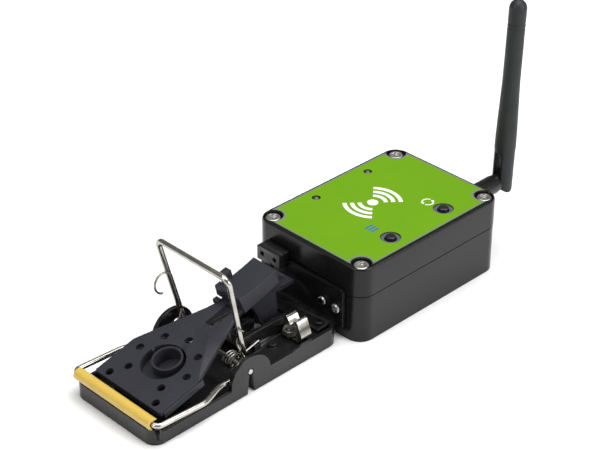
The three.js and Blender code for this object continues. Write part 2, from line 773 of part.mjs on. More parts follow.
function clipScrew() {
  return joined(
    rod("z", 1.4, 3, CLIP_NUT.top + 0.4, CLIP_NUT.x, CLIP_NUT.y, 16),
    rod("z", 2.6, 2, DECK_BOTTOM - GAP, CLIP_NUT.x, CLIP_NUT.y, 16),
  );
}

function mountingBracket() {
  const outline = polygon([
    [-BRACKET.half, BRACKET.bottom + 1],
    [-BRACKET.half + 1, BRACKET.bottom],
    [BRACKET.half - 1, BRACKET.bottom],
    [BRACKET.half, BRACKET.bottom + 1],
    [BRACKET.half, BRACKET.lowTop],
    [SWITCH.y - SWITCH.half - 0.8, BRACKET.lowTop],
    [SWITCH.y - SWITCH.half - 0.8, BRACKET.top],
    [-BRACKET.half + 1, BRACKET.top],
    [-BRACKET.half, BRACKET.top - 1],
  ]);
  const upright = alongX(outline, BRACKET.x0, BRACKET.x1);
  const flange = box(FLANGE.front, BRACKET.x0 + 0.5, -FLANGE.half, FLANGE.half, FLANGE.bottom, FLANGE.top);
  const wallHoles = BRACKET_SCREW_Y.map((y) => rod("x", 1.5, -4, 1, y, BRACKET_SCREW_Z));
  const deckHoles = [-1, 1].map((side) => rod("z", 1.4, 5, 9, DECK_SCREW.x, side * DECK_SCREW.y));
  return cut(joined(upright, flange), ...wallHoles, ...deckHoles);
}

// ---------------------------------------------------------------- microswitch

function switchCase() {
  const body = alongX(
    roundedRectangle(SWITCH.y - SWITCH.half, SWITCH.y + SWITCH.half, SWITCH.z0, SWITCH.z1, 0.5),
    SWITCH.x0,
    SWITCH.x1,
    2,
  );
  const z = SWITCH.z0 + 3.3;
  const holes = [-1, 1].map((side) =>
    rod("x", SWITCH.holeR, SWITCH.x0 - 1, SWITCH.x1 + 1, SWITCH.y + side * SWITCH.holes, z, 14),
  );
  const seam = box(-3.1, -2.9, SWITCH.y - 7, SWITCH.y + 7, SWITCH.z1 - 0.25, SWITCH.z1 + 1);
  const well = rod("z", PLUNGER.r + GAP, SWITCH.z0 - 1, SWITCH.z0 + 2, PLUNGER.x, SWITCH.y, 14);
  return cut(body, ...holes, seam, well);
}

function switchPlunger() {
  const r = PLUNGER.r;
  return turned(
    [
      [0, PLUNGER.tip],
      [r * 0.7, PLUNGER.tip],
      [r, PLUNGER.tip + 0.25],
      [r, SWITCH.z0 + 1.3],
      [0, SWITCH.z0 + 1.3],
    ],
    PLUNGER.x,
    SWITCH.y,
    14,
  );
}

// ---------------------------------------------------------------- alarm box

function boxOutline(offset) {
  return roundedRectangle(
    offset,
    BOX.length - offset,
    BOX.y - BOX.half + offset,
    BOX.y + BOX.half - offset,
    BOX.corner - offset,
  );
}

function corners(inset) {
  return [
    [inset, BOX.y - BOX.half + inset],
    [BOX.length - inset, BOX.y - BOX.half + inset],
    [BOX.length - inset, BOX.y + BOX.half - inset],
    [inset, BOX.y + BOX.half - inset],
  ];
}

const screwPlaces = corners(SCREW_INSET);
const boardScrewPlaces = [
  [BOARD.x0 + BOARD_SCREW_INSET, BOX.y - BOARD.half + BOARD_SCREW_INSET],
  [BOARD.x1 - BOARD_SCREW_INSET, BOX.y - BOARD.half + BOARD_SCREW_INSET],
  [BOARD.x1 - BOARD_SCREW_INSET, BOX.y + BOARD.half - BOARD_SCREW_INSET],
  [BOARD.x0 + BOARD_SCREW_INSET, BOX.y + BOARD.half - BOARD_SCREW_INSET],
];

function boxBase() {
  const shell = cut(raised(boxOutline(0), 0, BASE_TOP), raised(boxOutline(BOX.wall), BOX.wall, BASE_TOP + 1));
  const posts = screwPlaces.map(([x, y]) => rod("z", POST, 1, BASE_TOP, x, y));
  const outside = raised(boxOutline(0), 0, BASE_TOP);
  const bores = screwPlaces.map(([x, y]) => rod("z", 1.75, 6, BASE_TOP + 1, x, y, 10));
  const groove = cut(
    raised(boxOutline(0.5), BASE_TOP - 1, BASE_TOP + 1),
    raised(boxOutline(1.75), BASE_TOP - 2, BASE_TOP + 2),
  );
  const wallHoles = BRACKET_SCREW_Y.map((y) => rod("x", 1.55, -1, 5, y, BRACKET_SCREW_Z, 10));
  return cut(joined(shell, ...posts).intersect(outside), ...bores, groove, ...wallHoles);
}

function boxLid() {
  const grown = boxOutline(LID.edge - LID.lip);
  const geometry = new THREE.ExtrudeGeometry(grown, {
    depth: LID.top - LID.bottom,
    bevelThickness: LID.edge,
    bevelSize: LID.edge,
    bevelSegments: 2,
    curveSegments: 3,
  });
  geometry.translate(0, 0, LID.bottom - LID.edge);
  const outside = cut(solid(geometry), box(-9, 99, -50, 50, LID.bottom - 9, LID.bottom));
  const hollow = raised(boxOutline(BOX.wall), LID.bottom - 1, LID.ceiling);
  const posts = screwPlaces.map(([x, y]) => rod("z", POST, LID.bottom, LID.ceiling + 1, x, y));
  const bosses = boardScrewPlaces.map(([x, y]) => rod("z", 2.7, BOARD.top + GAP, LID.ceiling + 1, x, y, 12));
  const shell = joined(cut(outside, hollow), ...posts, ...bosses).intersect(outside);
  const bores = screwPlaces.map(([x, y]) => rod("z", 1.8, LID.bottom - 1, LID.top + 1, x, y, 10));
  const recesses = screwPlaces.map(([x, y]) => rod("z", LID_RECESS.r, LID_RECESS.z, LID.top + 1, x, y, 20));
  const bossBores = boardScrewPlaces.map(([x, y]) => rod("z", 1.4, BOARD.bottom, 31, x, y, 8));
  const buttonCuts = BUTTON_X.flatMap((x) => [
    rod("z", BUTTON.r + 0.35, LID.ceiling - 1, LID.top + 1, x, BUTTON_Y),
    rod("z", BUTTON.recess, LID.top - BUTTON.recessDepth, LID.top + 1, x, BUTTON_Y, 24),
  ]);
  const lampHoles = LED_X.map((x) => rod("z", LED_R + GAP, LID.ceiling - 1, LID.top + 1, x, LED_Y, 14));
  const aerialHole = rod("x", 3.4, BOX.length - 5, BOX.length + 1, AERIAL.y, AERIAL.z);
  const terminalSlot = box(-1, BOX.wall + 1, SWITCH.y - 4.6, SWITCH.y + 4.6, 22.9, 24.5);
  return cut(
    shell,
    ...bores,
    ...recesses,
    ...bossBores,
    ...buttonCuts,
    ...lampHoles,
    aerialHole,
    terminalSlot,
  );
}

function lidSeal() {
  return cut(
    raised(boxOutline(0.8), BASE_TOP - 0.7, BASE_TOP),
    raised(boxOutline(1.45), BASE_TOP - 2, BASE_TOP + 1),
  );
}

function lidScrew([x, y]) {
  return screw("z", 3.3, 1.4, LID_RECESS.z + 1.4, LID_RECESS.z + GAP, 8, x, y);
}

// The printed film is notched round the corner screws and holed for the buttons and lamps.
function labelFilm() {
  const film = raised(boxOutline(1.6), LID.top + 0.05, LID.top + 0.3);
  const hole = (r, x, y, sides) => rod("z", r, LID.top - 1, LID.top + 1, x, y, sides);
  const notches = screwPlaces.map(([x, y]) => hole(LID_RECESS.r + 0.5, x, y, 20));
  const buttonHoles = BUTTON_X.map((x) => hole(BUTTON.recess, x, BUTTON_Y, 24));
  const lampHoles = LED_X.map((x) => hole(LED_R + 0.4, x, LED_Y, 16));
  return cut(film, ...notches, ...buttonHoles, ...lampHoles);
}

function pushButton(x) {
  const r = BUTTON.r;
  return turned(
    [
      [0, 30.9],
      [3.3, 30.9],
      [3.3, 31.7],
      [r, 31.7],
      [r, BUTTON.top - 0.4],
      [r - 0.4, BUTTON.top],
      [0, BUTTON.top],
    ],
    x,
    BUTTON_Y,
    20,
  );
}

function tactSwitch(x) {
  const half = 3;
  const body = box(x - half, x + half, BUTTON_Y - half, BUTTON_Y + half, BOARD.top + GAP, 29.9);
  return joined(body, rod("z", 1.7, 29.5, 30.4, x, BUTTON_Y, 14));
}

function indicatorLamp(x) {
  const profile = [
    [0, BOARD.top + GAP],
    [1.9, BOARD.top + GAP],
    [1.9, 29],
    [LED_R, 29],
    [LED_R, 33.7],
  ];
  for (let i = 1; i <= 3; i++) {
    const angle = (i * Math.PI) / 6;
    profile.push([LED_R * Math.cos(angle), 33.7 + LED_R * 0.8 * Math.sin(angle)]);
  }
  return turned(profile, x, LED_Y, 16);
}

function circuitBoard() {
  const outline = roundedRectangle(BOARD.x0, BOARD.x1, BOX.y - BOARD.half, BOX.y + BOARD.half, 2);
  const holes = boardScrewPlaces.map(([x, y]) => rod("z", 1.4, BOARD.bottom - 1, BOARD.top + 1, x, y, 8));
  return cut(raised(outline, BOARD.bottom, BOARD.top, 2), ...holes);
}

function boardScrew([x, y]) {
  return joined(
    rod("z", 2.1, BOARD.bottom - 1.6, BOARD.bottom - GAP, x, y, 10),
    rod("z", 1, BOARD.bottom - 1, 30.6, x, y, 8),
  );
}

function batteryHolder() {
  const x0 = CELL.x - 2.2;
  const x1 = CELL.x + CELL.length + 2.2;
  const half = CELL.apart + CELL.r + 1.6;
  const tray = box(x0, x1, BOX.y - half, BOX.y + half, 2.5, CELL.z);
  const hollows = [-1, 1].map((side) =>
    rod("x", CELL.r + GAP, CELL.x - 0.4, CELL.x + CELL.length + 0.4, BOX.y + side * CELL.apart, CELL.z, 20),
  );
  return cut(tray, ...hollows);
}

function batteryCell(side) {
  const y = BOX.y + side * CELL.apart;
  const can = rod("x", CELL.r, CELL.x, CELL.x + CELL.length - 1.2, y, CELL.z, 20);
  const cap = rod("x", 2.6, CELL.x + CELL.length - 2, CELL.x + CELL.length, y, CELL.z, 12);
  return joined(can, cap);
}

// ---------------------------------------------------------------- aerial

function aerialConnector() {
  const flange = alongX(hexagon(7.4, AERIAL.y, AERIAL.z), 78, BOX.length - BOX.wall - GAP);
  const barrel = rod("x", 3.1, 76, 90.5, AERIAL.y, AERIAL.z);
  return joined(flange, barrel);
}

function aerialNut() {
  const body = alongX(hexagon(7.8, AERIAL.y, AERIAL.z), BOX.length + 0.5, BOX.length + 2.4);
  return cut(body, rod("x", 3.45, BOX.length - 1, BOX.length + 4, AERIAL.y, AERIAL.z));
}

// A collar over the connector, necking down to the flat tongue that the whip's fork straddles.
function aerialKnuckle() {
  const { x, y, z, tongue } = AERIAL;
  const collar = joined(
    rod("x", 4.1, BOX.length + 2.8, 96.5, y, z, 20),
    rod("x", 3.8, 96, 98.2, y, z, 20),
  );
  const tongueSolid = joined(
    box(95, x, y - tongue, y + tongue, z - 3.8, z + 3.8),
    rod("y", 3.8, y - tongue, y + tongue, x, z, 20),
  );
  return cut(
    joined(collar, tongueSolid),
    rod("x", 3.45, BOX.length, 91, y, z),
    rod("y", 1.4, y - 3, y + 3, x, z, 12),
  );
}

function aerialWhip() {
  const { x, y, z, tip, tongue, slotTop } = AERIAL;
  const body = 4.4;
  const slim = 3.7;
  const foot = z - AERIAL.foot;
  const profile = [
    [0, foot - 1],
    [body, foot - 1],
    [body, 42],
    [body + 0.15, 43],
    [body + 0.1, 49],
    [slim + 0.05, 74],
    [slim, tip - 12.5],
    [slim - 0.25, tip - 12.3],
    [slim - 0.25, tip - 11.9],
    [slim, tip - 11.7],
    [slim, tip - 10.7],
    [slim - 0.25, tip - 10.5],
    [slim - 0.25, tip - 10.1],
    [slim, tip - 9.9],
  ];
  for (let i = 0; i <= 5; i++) {
    const angle = (i * Math.PI) / 10;
    profile.push([i === 5 ? 0 : slim * Math.cos(angle), tip - slim + slim * Math.sin(angle)]);
  }
  const slot = joined(
    box(x - 6, x + 6, y - tongue - GAP, y + tongue + GAP, foot - 2, slotTop - tongue),
    rod("x", tongue + GAP, x - 6, x + 6, y, slotTop - tongue, 16),
  );
  const rounding = joined(
    rod("y", AERIAL.foot, y - body - 1, y + body + 1, x, z, 24),
    box(x - body - 1, x + body + 1, y - body - 1, y + body + 1, z, tip + 1),
  );
  const pinBore = rod("y", 1.4, y - 3.5, y + 6, x, z, 12);
  const upright = cut(turned(profile, x, y, 18).intersect(rounding), slot, pinBore);
  const lean = THREE.MathUtils.radToDeg(AERIAL_LEAN);
  return upright.translate(-x, -y, -z).rotate(0, lean, 0).translate(x, y, z);
}

function aerialPin() {
  const { x, y, z } = AERIAL;
  return rod("y", 1, y - 3.2, y + 3.9, x, z, 12);
}

// ---------------------------------------------------------------- assembly

function buildTrap() {
  const trap = new THREE.Group();
  place("trap_base", trapBase(), blackPlastic, trap);
  place("treadle", treadle(), greyPlastic, trap);
  place("pivot_pin", rod("y", PIN.r, -TRAP_HALF, TRAP_HALF, PIN.x, PIN.z, 16), brightSteel, trap);
  place("strike_bar", strikeBar(), brightSteel, trap);
  place("bar_sleeve", barSleeve(), yellowPlastic, trap);
  place("spring_right", springWire(-1, WRAP), brightSteel, trap);
  place("spring_left", springWire(1, HOOK), brightSteel, trap);
  place("spring_clip", springClip(), brightSteel, trap);
  place("clip_nut", clipNut(), blackSteel, trap);
  place("clip_screw", clipScrew(), brightSteel, trap);
  object.add(trap);
}

function buildBracket() {
  const bracket = new THREE.Group();
  place("mounting_bracket", mountingBracket(), blackSteel, bracket);
  BRACKET_SCREW_Y.forEach((y, i) => {
    const shape = screw("x", 2.05, 1.15, BRACKET.x0 - 1.25, BRACKET.x0 - GAP, 4, y, BRACKET_SCREW_Z);
    place("bracket_screw_" + (i + 1), shape, brightSteel, bracket);
  });
  [-1, 1].forEach((side, i) => {
    const [x, y] = [DECK_SCREW.x, side * DECK_SCREW.y];
    const shape = screw("z", 2, 1.05, FLANGE.top + 1.25, FLANGE.top + GAP, 1, x, y);
    place("deck_screw_" + (i + 1), shape, blackSteel, bracket);
  });
  object.add(bracket);
}

function buildSwitch() {
  const unit = new THREE.Group();
  place("switch_case", switchCase(), blackPlastic, unit);
  place("switch_plunger", switchPlunger(), greyPlastic, unit);
  [-1, 0, 1].forEach((step, i) => {
    const y = SWITCH.y + step * 3.6;
    const blade = box(SWITCH.x1 + GAP, 4.2, y - 0.6, y + 0.6, 23.45, 23.95);
    place("switch_terminal_" + (i + 1), blade, brass, unit);
  });
  object.add(unit);
}

function buildBox() {
  const unit = new THREE.Group();
  place("box_base", boxBase(), blackPlastic, unit);
  place("box_lid", boxLid(), blackPlastic, unit);
  place("lid_seal", lidSeal(), rubber, unit);
  screwPlaces.forEach((spot, i) => place("lid_screw_" + (i + 1), lidScrew(spot), brightSteel, unit));
  place("label", labelFilm(), greenFilm, unit);
  BUTTON_X.forEach((x, i) => {
    place("button_" + (i + 1), pushButton(x), blackPlastic, unit);
    place("tact_switch_" + (i + 1), tactSwitch(x), blackSteel, unit);
  });
  LED_X.forEach((x, i) => place("led_" + (i + 1), indicatorLamp(x), lampGrey, unit));
  place("circuit_board", circuitBoard(), boardGreen, unit);
  boardScrewPlaces.forEach((spot, i) => place("board_screw_" + (i + 1), boardScrew(spot), brightSteel, unit));
  place("battery_holder", batteryHolder(), blackPlastic, unit);
  [-1, 1].forEach((side, i) => place("battery_cell_" + (i + 1), batteryCell(side), cellBlue, unit));
  object.add(unit);
}

function buildAerial() {
  const unit = new THREE.Group();
  place("antenna_connector", aerialConnector(), brass, unit);
  place("antenna_nut", aerialNut(), brass, unit);
  place("antenna_knuckle", aerialKnuckle(), softBlack, unit);
  place("antenna_whip", aerialWhip(), softBlack, unit);
  place("antenna_pin", aerialPin(), brightSteel, unit);
  object.add(unit);
}

buildTrap();
buildBracket();
buildSwitch();
buildBox();
buildAerial();

// Origin: the middle of the underside of the whole object's box.
const extent = new THREE.Box3().setFromObject(object);
object.position.set(-(extent.min.x + extent.max.x) / 2, -(extent.min.y + extent.max.y) / 2, 0);

export default object;
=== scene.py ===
"""Looks for the snap mouse trap with its radio alarm box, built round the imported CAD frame."""

import json
import math

import bmesh
import bpy
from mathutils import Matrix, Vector


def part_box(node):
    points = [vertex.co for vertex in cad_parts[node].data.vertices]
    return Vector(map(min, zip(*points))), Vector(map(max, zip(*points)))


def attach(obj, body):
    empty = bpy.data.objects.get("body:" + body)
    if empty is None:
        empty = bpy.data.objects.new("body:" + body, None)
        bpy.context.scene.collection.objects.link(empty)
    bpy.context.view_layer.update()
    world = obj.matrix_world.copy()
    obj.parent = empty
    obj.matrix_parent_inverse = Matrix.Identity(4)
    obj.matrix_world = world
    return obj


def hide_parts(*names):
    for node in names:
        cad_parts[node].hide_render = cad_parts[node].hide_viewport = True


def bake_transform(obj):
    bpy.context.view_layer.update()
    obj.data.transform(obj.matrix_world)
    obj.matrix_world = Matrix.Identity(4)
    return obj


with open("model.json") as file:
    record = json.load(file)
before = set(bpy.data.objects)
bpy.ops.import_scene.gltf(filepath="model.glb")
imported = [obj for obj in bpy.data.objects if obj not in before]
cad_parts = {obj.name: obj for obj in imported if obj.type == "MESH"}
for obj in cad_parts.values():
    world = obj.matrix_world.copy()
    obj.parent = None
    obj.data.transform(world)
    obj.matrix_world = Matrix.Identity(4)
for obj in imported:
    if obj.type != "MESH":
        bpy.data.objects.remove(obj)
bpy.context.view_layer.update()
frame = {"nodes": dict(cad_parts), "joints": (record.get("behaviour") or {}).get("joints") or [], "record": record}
MM = 0.001

# ---------------------------------------------------------------- places taken from the frame

RECORD = frame["record"]
NODES = frame["nodes"]
JOINTS = {j["name"]: j for j in frame["joints"]}
BODY_OF = {n: b for b, members in RECORD["behaviour"]["bodies"].items() for n in members}
SLOT_OF = {s["node"]: s["material_slot"] for s in RECORD["subparts"]}

PIN = Vector(JOINTS["hammer_hinge"]["pos_m"])
BOX_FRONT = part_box("box_base")[0].x
TRAP_LOW, TRAP_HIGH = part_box("trap_base")
TRAP_MIDDLE_Y = (TRAP_LOW.y + TRAP_HIGH.y) / 2
LABEL_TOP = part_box("label")[1].z


def at(x, y, z):
    """A point given in millimetres from the box's front face, the trap's middle line and the floor."""
    return Vector((BOX_FRONT + x * MM, TRAP_MIDDLE_Y + y * MM, z * MM))


# ---------------------------------------------------------------- materials


class Shader:
    """A small builder for a procedural material."""

    def __init__(self, name):
        self.material = bpy.data.materials.new(name)
        self.material.use_nodes = True
        self.tree = self.material.node_tree
        self.bsdf = self.tree.nodes["Principled BSDF"]
        self.coords = self.tree.nodes.new("ShaderNodeTexCoord")

    def node(self, kind, **values):
        made = self.tree.nodes.new(kind)
        for key, value in values.items():
            if key in made.inputs:
                made.inputs[key].default_value = value
            else:
                setattr(made, key, value)
        return made

    def link(self, a, b):
        self.tree.links.new(a, b)

    def set(self, **values):
        names = {
            "color": "Base Color",
            "metallic": "Metallic",
            "roughness": "Roughness",
            "specular": "Specular IOR Level",
            "coat": "Coat Weight",
            "coat_roughness": "Coat Roughness",
        }
        for key, value in values.items():
            socket = self.bsdf.inputs[names[key]]
            socket.default_value = (*value, 1.0) if key == "color" else value

    def noise(self, scale, detail=4.0, roughness=0.55, stretch=None):
        texture = self.node("ShaderNodeTexNoise", Scale=scale, Detail=detail, Roughness=roughness)
        source = self.coords.outputs["Object"]
        if stretch:
            mapping = self.node("ShaderNodeMapping", Scale=stretch)
            self.link(source, mapping.inputs["Vector"])
            source = mapping.outputs["Vector"]
        self.link(source, texture.inputs["Vector"])
        return texture.outputs["Fac"]

    def ramp(self, fac, stops):
        made = self.node("ShaderNodeValToRGB")
        elements = made.color_ramp.elements
        while len(elements) < len(stops):
            elements.new(0.5)
        for element, (position, value) in zip(elements, stops):
            element.position = position
            element.color = (*value, 1.0) if isinstance(value, tuple) else (value, value, value, 1.0)
        self.link(fac, made.inputs["Fac"])
        return made.outputs["Color"]

    def bump(self, height, strength, distance):
        made = self.node("ShaderNodeBump", Strength=strength, Distance=distance)
        self.link(height, made.inputs["Height"])
        before = self.bsdf.inputs["Normal"]
        if before.is_linked:
            self.link(before.links[0].from_socket, made.inputs["Normal"])
        self.link(made.outputs["Normal"], before)

    def vary(self, socket, fac, stops):
        self.link(self.ramp(fac, stops), self.bsdf.inputs[socket])


def moulded(name, color, gloss, grain=0.0, spread=0.06, wear=1.25, specular=0.5, coat=0.0):
    """Injection-moulded plastic: slight flow marks in its colour, uneven gloss and a fine grain."""
    m = Shader(name)
    m.set(color=color, roughness=gloss, specular=specular, coat=coat, coat_roughness=0.08)
    lighter = tuple(c * wear for c in color)
    m.vary("Base Color", m.noise(55, 5), [(0.3, color), (0.75, lighter)])
    m.vary("Roughness", m.noise(130, 6), [(0.3, gloss), (0.75, gloss + spread)])
    m.bump(m.noise(190, 3), 0.12, 0.0002)
    if grain:
        m.bump(m.noise(3600, 2), grain, 0.00006)
    return m.material


def bright_metal(name, color, gloss, stretch=None, scale=900, streak=0.1):
    """Plated or drawn metal: fine draw lines along the piece and faint cloudy tarnish."""
    m = Shader(name)
    m.set(color=color, metallic=1.0, roughness=gloss)
    darker = tuple(c * 0.78 for c in color)
    m.vary("Base Color", m.noise(260, 5), [(0.32, darker), (0.6, color)])
    m.vary("Roughness", m.noise(scale, 4, stretch=stretch), [(0.3, gloss), (0.75, gloss + streak)])
    m.bump(m.noise(scale, 3, stretch=stretch), 0.06, 0.00003)
    return m.material


def coated_steel(name):
    m = Shader(name)
    m.set(color=(0.005, 0.005, 0.0053), roughness=0.3, metallic=0.0, specular=0.25)
    m.vary("Roughness", m.noise(240, 6), [(0.3, 0.24), (0.8, 0.4)])
    m.vary("Base Color", m.noise(500, 4), [(0.35, (0.0042, 0.0042, 0.0046)), (0.8, (0.008, 0.008, 0.0085))])
    m.bump(m.noise(1500, 3), 0.2, 0.00005)
    return m.material


def printed_film(name, color):
    m = Shader(name)
    m.set(color=color, roughness=0.45, specular=0.2)
    m.vary("Base Color", m.noise(38, 4), [(0.25, tuple(c * 0.94 for c in color)), (0.75, color)])
    m.vary("Roughness", m.noise(300, 5), [(0.3, 0.38), (0.8, 0.5)])
    m.bump(m.noise(2600, 2), 0.1, 0.00003)
    return m.material


def soft_touch(name):
    m = Shader(name)
    m.set(color=(0.012, 0.013, 0.014), roughness=0.5, specular=0.35)
    m.vary("Base Color", m.noise(60, 5), [(0.3, (0.0105, 0.0115, 0.0125)), (0.8, (0.017, 0.0185, 0.0195))])
    m.vary("Roughness", m.noise(160, 5), [(0.3, 0.44), (0.8, 0.58)])
    m.bump(m.noise(4200, 2), 0.22, 0.00006)
    return m.material


def tinted_lamp(name):
    m = Shader(name)
    m.set(color=(0.06, 0.07, 0.075), roughness=0.14, specular=0.6)
    m.vary("Base Color", m.noise(700, 3), [(0.3, (0.045, 0.052, 0.055)), (0.8, (0.09, 0.1, 0.105))])
    m.vary("Roughness", m.noise(900, 3), [(0.3, 0.1), (0.8, 0.2)])
    return m.material


def ink(name, color):
    m = Shader(name)
    m.set(color=color, roughness=0.5, specular=0.4)
    m.vary("Base Color", m.noise(900, 4), [(0.3, tuple(c * 0.93 for c in color)), (0.7, color)])
    m.bump(m.noise(3000, 2), 0.1, 0.00002)
    return m.material


MATERIALS = {
    "black_plastic": moulded(
        "black_plastic", (0.0065, 0.0065, 0.0066), 0.22, grain=0.05, spread=0.1, specular=0.42
    ),
    "grey_plastic": moulded(
        "grey_plastic", (0.026, 0.0265, 0.0325), 0.24, grain=0.05, spread=0.08, specular=0.14
    ),
    "yellow_plastic": moulded("yellow_plastic", (0.56, 0.385, 0.07), 0.28, wear=1.08, coat=0.35),
    "bright_wire": bright_metal("bright_wire", (0.52, 0.505, 0.46), 0.17, scale=420, streak=0.07),
    "spring_steel": bright_metal("spring_steel", (0.3, 0.29, 0.265), 0.24, scale=420, streak=0.07),
    "steel_pin": bright_metal("steel_pin", (0.6, 0.59, 0.56), 0.26, stretch=(1, 0.05, 1)),
    "clip_strip": bright_metal("clip_strip", (0.4, 0.39, 0.355), 0.14, stretch=(0.08, 1, 1)),
    "black_steel": coated_steel("black_steel"),
    "screw_steel": bright_metal("screw_steel", (0.5, 0.49, 0.46), 0.32, scale=1400),
    "box_plastic": moulded(
        "box_plastic", (0.0062, 0.0062, 0.0062), 0.19, grain=0.05, spread=0.09, specular=0.29
    ),
    "label_film": printed_film("label_film", (0.121, 0.286, 0.0025)),
    "seal_rubber": moulded("seal_rubber", (0.02, 0.02, 0.02), 0.7, grain=0.2),
    "button_plastic": moulded("button_plastic", (0.009, 0.0095, 0.012), 0.28, specular=0.4),
    "lamp_plastic": tinted_lamp("lamp_plastic"),
    "switch_plastic": moulded("switch_plastic", (0.009, 0.009, 0.0095), 0.3, grain=0.1, specular=0.4),
    "plunger_plastic": moulded("plunger_plastic", (0.2, 0.19, 0.17), 0.4),
    "contact_brass": bright_metal("contact_brass", (0.72, 0.55, 0.26), 0.28),
    "antenna_rubber": soft_touch("antenna_rubber"),
    "connector_brass": bright_metal("connector_brass", (0.78, 0.58, 0.27), 0.25),
    "board_green": moulded("board_green", (0.01, 0.085, 0.03), 0.3),
    "tact_black": moulded("tact_black", (0.018, 0.018, 0.018), 0.5, grain=0.15),
    "cell_sleeve": moulded("cell_sleeve", (0.02, 0.06, 0.25), 0.25),
}
# painted sheen: this light grey stands in for the lit top rim of the black lid round the film, not for print
RIM_SHEEN_PAINT = ink("painted_rim_sheen", (0.16, 0.165, 0.18))
WHITE_INK = ink("white_ink", (0.82, 0.83, 0.8))
BLUE_INK = ink("blue_ink", (0.03, 0.13, 0.3))
RECESS_INK = ink("recess_ink", (0.095, 0.1, 0.125))

for node, thing in NODES.items():
    thing.data.materials.clear()
    thing.data.materials.append(MATERIALS[SLOT_OF[node]])

# ---------------------------------------------------------------- making pieces


def piece(name, mesh, body, slot, *nodes, material=None, smooth=True):
    """Adds a finished mesh as a piece that rides on a body, and hides the CAD nodes it stands for."""
    thing = bpy.data.objects.new(name, mesh)
    bpy.context.scene.collection.objects.link(thing)
    mesh.materials.clear()
    mesh.materials.append(material or MATERIALS[slot])
    for polygon in mesh.polygons:
        polygon.use_smooth = smooth
    if body:
        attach(thing, body)
    if nodes:
        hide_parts(*nodes)
    return thing


MERGE = 0.004 * MM  # vertices closer than this are one
FLAT = math.radians(0.8)  # faces that meet at less than this are one
SHARP = math.radians(32)  # edges that turn more than this are rounded
ROOM = 2.0  # an edge is rounded only if it and its neighbours are this many widths long
NARROW_CORNER = math.cos(math.radians(25))  # and its neighbours leave it at more than this angle
ROUNDING_STEPS = 2
FACE_WEIGHT = 90  # how strongly large faces steer the shading


def has_room(edge, room):
    """True if nothing at an edge's two ends would make its rounding overshoot."""
    for vert in edge.verts:
        along = (edge.other_vert(vert).co - vert.co).normalized()
        for other in vert.link_edges:
            if other == edge:
                continue
            away = (other.other_vert(vert).co - vert.co).normalized()
            if other.calc_length() < room or along.dot(away) > NARROW_CORNER:
                return False
    return edge.calc_length() > room


def mark_edges(bm, width):
    """Give each sharp edge that has room for it a bevel weight."""
    weight = bm.edges.layers.float.new("bevel_weight_edge")
    for edge in bm.edges:
        sharp = len(edge.link_faces) == 2 and edge.calc_face_angle(0) > SHARP
        if sharp and has_room(edge, ROOM * width):
            edge[weight] = 1.0


def build_rounded(node, width):
    """Replaces a CAD node with a copy whose triangles are merged and whose sharp edges are rounded."""
    bm = bmesh.new()
    bm.from_mesh(NODES[node].data)
    bmesh.ops.remove_doubles(bm, verts=bm.verts, dist=MERGE)
    bmesh.ops.dissolve_limit(bm, angle_limit=FLAT, verts=bm.verts, edges=bm.edges)
    mark_edges(bm, width * MM)
    mesh = bpy.data.meshes.new(node + "_form")
    bm.to_mesh(mesh)
    bm.free()
    thing = piece(node + "_form", mesh, BODY_OF[node], SLOT_OF[node], node)
    bevel = thing.modifiers.new("edges", "BEVEL")
    bevel.width = width * MM
    bevel.segments = ROUNDING_STEPS
    bevel.limit_method = "WEIGHT"
    bevel.use_clamp_overlap = True
    shading = thing.modifiers.new("shading", "WEIGHTED_NORMAL")
    shading.mode = "FACE_AREA"
    shading.weight = FACE_WEIGHT


def tube(name, points, radius, body, slot, *nodes, sides=16):
    """A round wire along a list of points, as a mesh."""
    curve = bpy.data.curves.new(name, "CURVE")
    curve.dimensions = "3D"
    spline = curve.splines.new("POLY")
    spline.points.add(len(points) - 1)
    for point, place in zip(spline.points, points):
        point.co = (*place, 1.0)
    curve.bevel_depth = radius
    curve.bevel_resolution = sides // 4
    curve.use_fill_caps = True
    holder = bpy.data.objects.new(name + "_path", curve)
    bpy.context.scene.collection.objects.link(holder)
    bpy.context.view_layer.update()
    depsgraph = bpy.context.evaluated_depsgraph_get()
    mesh = bpy.data.meshes.new_from_object(holder.evaluated_get(depsgraph))
    bpy.data.objects.remove(holder)
    return piece(name, mesh, body, slot, *nodes)


def smooth_route(corners, steps=10):
    """Points along straight runs with each inner corner rounded: corners are (place, bend in mm)."""
    points = [corners[0][0].copy()]
    for (before, _), (here, bend), (after, _) in zip(corners, corners[1:], corners[2:]):
        back = (before - here).normalized()
        ahead = (after - here).normalized()
        half = back.angle(ahead) / 2
        radius = bend * MM
        reach = radius / math.tan(half)
        centre = here + (back + ahead).normalized() * (radius / math.sin(half))
        start = here + back * reach - centre
        stop = here + ahead * reach - centre
        sweep = math.pi - 2 * half
        for k in range(steps + 1):
            t = k / steps
            mixed = (start * math.sin((1 - t) * sweep) + stop * math.sin(t * sweep)) / math.sin(sweep)
            points.append(centre + mixed)
    points.append(corners[-1][0].copy())
    return points


# ---------------------------------------------------------------- strike bar and springs

